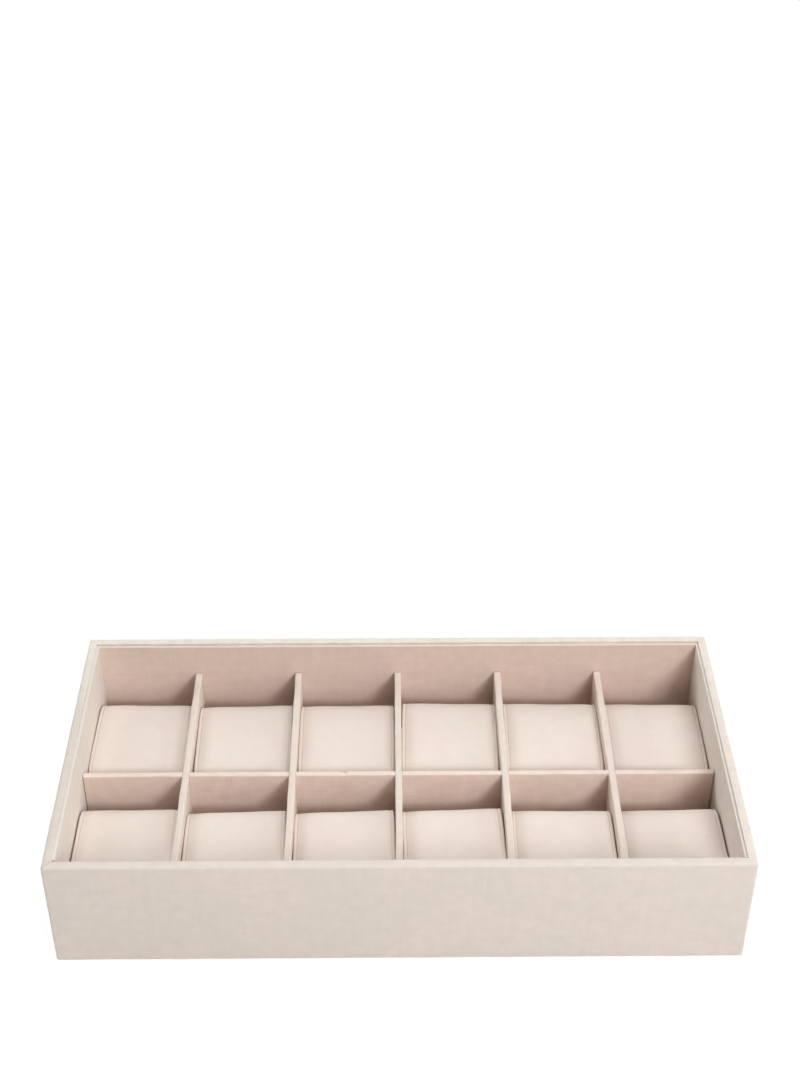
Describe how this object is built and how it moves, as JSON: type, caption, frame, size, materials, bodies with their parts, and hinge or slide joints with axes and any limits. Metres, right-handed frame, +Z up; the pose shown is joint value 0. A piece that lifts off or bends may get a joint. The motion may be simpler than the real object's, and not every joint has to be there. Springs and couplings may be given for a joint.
{
  "type": "watch tray insert",
  "caption": "Shallow rectangular tray in pale suede cloth, with a lattice of low dividers and a loose cushion in each cell for holding watches.",
  "frame": {"origin": "middle of the tray's underside, at the level of the surface it stands on", "axes": "+X along the long side, -Y towards the front wall, +Z up out of the open top"},
  "size_m": [0.4, 0.198, 0.078],
  "materials": {
    "wall_cloth": "short suede nap over board, matt",
    "lining_cloth": "short suede nap over thin board, matt",
    "divider_cloth": "short suede nap over thin board, matt",
    "cushion_cloth": "soft short nap over foam, matt",
    "base_cloth": "plain close cloth under the base, matt"
  },
  "bodies": {
    "root": {"base_board": "base_cloth", "front_wall": "wall_cloth", "back_wall": "wall_cloth", "left_wall": "wall_cloth", "right_wall": "wall_cloth", "floor_lining": "lining_cloth", "front_lining": "lining_cloth", "back_lining": "lining_cloth", "left_lining": "lining_cloth", "right_lining": "lining_cloth", "long_divider": "divider_cloth", "cross_divider_1": "divider_cloth", "cross_divider_2": "divider_cloth", "cross_divider_3": "divider_cloth", "cross_divider_4": "divider_cloth", "cross_divider_5": "divider_cloth", "cushion_front_1": "cushion_cloth", "cushion_front_2": "cushion_cloth", "cushion_front_3": "cushion_cloth", "cushion_front_4": "cushion_cloth", "cushion_front_5": "cushion_cloth", "cushion_front_6": "cushion_cloth", "cushion_back_1": "cushion_cloth", "cushion_back_2": "cushion_cloth", "cushion_back_3": "cushion_cloth", "cushion_back_4": "cushion_cloth", "cushion_back_5": "cushion_cloth", "cushion_back_6": "cushion_cloth"}
  },
  "joints": []
}
